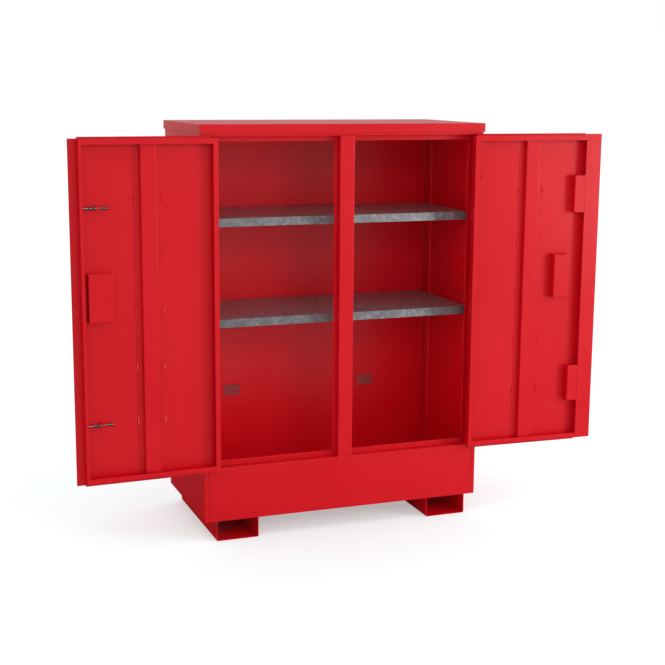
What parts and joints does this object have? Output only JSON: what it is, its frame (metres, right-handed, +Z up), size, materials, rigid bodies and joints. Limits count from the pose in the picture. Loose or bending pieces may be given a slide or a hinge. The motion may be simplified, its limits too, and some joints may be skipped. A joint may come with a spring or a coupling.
{
  "type": "flammable safety cabinet",
  "caption": "Two-door sheet-steel cabinet for flammable liquids, doors open, with two shelves, a spill sump and fork skids.",
  "frame": {"origin": "on the floor under the middle of the cabinet body's footprint, doors and lid overhang not counted", "axes": "+X to the right as seen from the front, -Y out of the doorways, +Z up"},
  "size_m": [2.234, 0.6431, 1.65],
  "materials": {
    "red_powder_coat": "red powder coat with a light orange peel, semi-gloss",
    "galvanised_steel": "hot-dip galvanised sheet with a faint spangle",
    "zinc_plate": "bright zinc plate, slightly dulled",
    "nickel_plate": "nickel-plated lock barrel",
    "dark_gauze": "dark fine wire gauze behind slotted plate"
  },
  "bodies": {
    "cabinet": {"left_skid": "red_powder_coat", "right_skid": "red_powder_coat", "sump_tray": "red_powder_coat", "front_sill": "red_powder_coat", "left_side_panel": "red_powder_coat", "right_side_panel": "red_powder_coat", "back_panel": "red_powder_coat", "lid": "red_powder_coat", "top_rail": "red_powder_coat", "centre_mullion": "red_powder_coat", "left_front_upright": "red_powder_coat", "left_rear_upright": "red_powder_coat", "right_front_upright": "red_powder_coat", "right_rear_upright": "red_powder_coat", "upper_shelf_clips": "zinc_plate", "lower_shelf_clips": "zinc_plate", "low_left_vent": "dark_gauze", "low_right_vent": "dark_gauze", "high_left_vent": "dark_gauze", "high_right_vent": "dark_gauze", "left_top_hinge_frame_leaf": "red_powder_coat", "left_middle_hinge_frame_leaf": "red_powder_coat", "left_bottom_hinge_frame_leaf": "red_powder_coat", "right_top_hinge_frame_leaf": "red_powder_coat", "right_middle_hinge_frame_leaf": "red_powder_coat", "right_bottom_hinge_frame_leaf": "red_powder_coat", "left_hinge_pins": "zinc_plate", "right_hinge_pins": "zinc_plate"},
    "left_door": {"left_door_panel": "red_powder_coat", "left_door_stiffener": "red_powder_coat", "left_pull_box": "red_powder_coat", "left_top_hinge_door_leaf": "red_powder_coat", "left_middle_hinge_door_leaf": "red_powder_coat", "left_bottom_hinge_door_leaf": "red_powder_coat", "left_door_rivets": "red_powder_coat", "upper_slide_bolt_bracket": "red_powder_coat", "lower_slide_bolt_bracket": "red_powder_coat"},
    "right_door": {"right_door_panel": "red_powder_coat", "right_door_stiffener": "red_powder_coat", "right_pull_box": "red_powder_coat", "right_door_meeting_strip": "red_powder_coat", "right_top_hinge_door_leaf": "red_powder_coat", "right_middle_hinge_door_leaf": "red_powder_coat", "right_bottom_hinge_door_leaf": "red_powder_coat", "right_door_rivets": "red_powder_coat", "upper_lock_case": "red_powder_coat", "lower_lock_case": "red_powder_coat"},
    "upper_slide_bolt": {"upper_slide_bolt": "zinc_plate"},
    "lower_slide_bolt": {"lower_slide_bolt": "zinc_plate"},
    "upper_key_cylinder": {"upper_key_cylinder": "nickel_plate"},
    "lower_key_cylinder": {"lower_key_cylinder": "nickel_plate"},
    "upper_deadbolt": {"upper_deadbolt": "zinc_plate"},
    "lower_deadbolt": {"lower_deadbolt": "zinc_plate"},
    "upper_shelf": {"upper_shelf": "galvanised_steel"},
    "lower_shelf": {"lower_shelf": "galvanised_steel"}
  },
  "joints": [
    {"name": "left_door_hinge", "type": "hinge", "parent": "cabinet", "child": "left_door", "pos_m": [-0.556, -0.2913, 0.948], "axis": [0, 0, -1], "range_deg": [-178, 2]},
    {"name": "right_door_hinge", "type": "hinge", "parent": "cabinet", "child": "right_door", "pos_m": [0.556, -0.2913, 0.948], "axis": [0, 0, 1], "range_deg": [-178, 2]},
    {"name": "upper_slide_bolt_throw", "type": "slide", "parent": "left_door", "child": "upper_slide_bolt", "axis": [-0.9994, -0.0349, 0], "range_m": [0, 0.032]},
    {"name": "lower_slide_bolt_throw", "type": "slide", "parent": "left_door", "child": "lower_slide_bolt", "axis": [-0.9994, -0.0349, 0], "range_m": [0, 0.032]},
    {"name": "upper_key_turn", "type": "hinge", "parent": "right_door", "child": "upper_key_cylinder", "pos_m": [1.02122, -0.30755, 1.358], "axis": [0.0349, 0.9994, 0], "range_deg": [0, 180]},
    {"name": "upper_deadbolt_throw", "type": "slide", "parent": "right_door", "child": "upper_deadbolt", "axis": [0.9994, -0.0349, 0], "range_m": [0, 0.038]},
    {"name": "lower_key_turn", "type": "hinge", "parent": "right_door", "child": "lower_key_cylinder", "pos_m": [1.02122, -0.30755, 0.548], "axis": [0.0349, 0.9994, 0], "range_deg": [0, 180]},
    {"name": "lower_deadbolt_throw", "type": "slide", "parent": "right_door", "child": "lower_deadbolt", "axis": [0.9994, -0.0349, 0], "range_m": [0, 0.038]},
    {"name": "upper_shelf_lift", "type": "slide", "parent": "cabinet", "child": "upper_shelf", "axis": [0, 0, 1], "range_m": [0, 0.03]},
    {"name": "lower_shelf_lift", "type": "slide", "parent": "cabinet", "child": "lower_shelf", "axis": [0, 0, 1], "range_m": [0, 0.03]}
  ],
  "couplings": [
    {"joint": "upper_key_turn", "follows": "upper_deadbolt_throw", "rad_per_m": 82.674},
    {"joint": "lower_key_turn", "follows": "lower_deadbolt_throw", "rad_per_m": 82.674}
  ]
}
